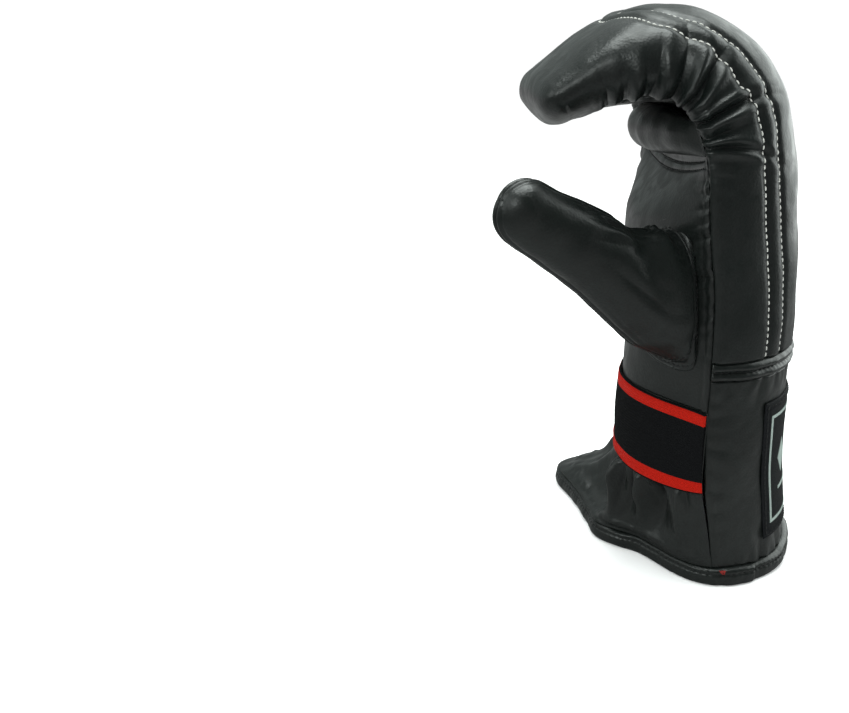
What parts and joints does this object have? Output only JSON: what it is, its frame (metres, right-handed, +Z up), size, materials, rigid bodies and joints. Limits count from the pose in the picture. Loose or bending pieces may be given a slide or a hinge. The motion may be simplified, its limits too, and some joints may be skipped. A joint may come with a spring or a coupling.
{
  "type": "bag glove",
  "caption": "Padded bag glove for the right hand, with curled fingers, a sewn thumb, a grip roll across the palm and an elastic wrist cuff with a bound hem.",
  "frame": {"origin": "on the floor under the middle of the glove's bounding box", "axes": "+Z up the glove from the hem to the fingers, +X out of the back of the hand, -Y the thumb side"},
  "size_m": [0.1594, 0.1502, 0.2527],
  "materials": {
    "pad_leather": "semi-gloss smooth black leather",
    "palm_leather": "semi-gloss smooth black leather",
    "thumb_leather": "semi-gloss smooth black leather",
    "cuff_leather": "satin black leather",
    "trim_leather": "semi-gloss black leather strip",
    "elastic": "woven black elastic with a red stripe along each edge",
    "woven_label": "woven black label with a pale border"
  },
  "bodies": {
    "root": {"back_pad": "pad_leather", "palm_panel": "palm_leather", "grip_roll": "palm_leather", "thumb_outer": "thumb_leather", "thumb_inner": "thumb_leather", "cuff_back": "cuff_leather", "wrist_piping": "trim_leather", "wrist_gusset": "cuff_leather", "elastic_band": "elastic", "hem_binding": "trim_leather", "label_patch": "woven_label", "size_tag": "woven_label"}
  },
  "joints": []
}
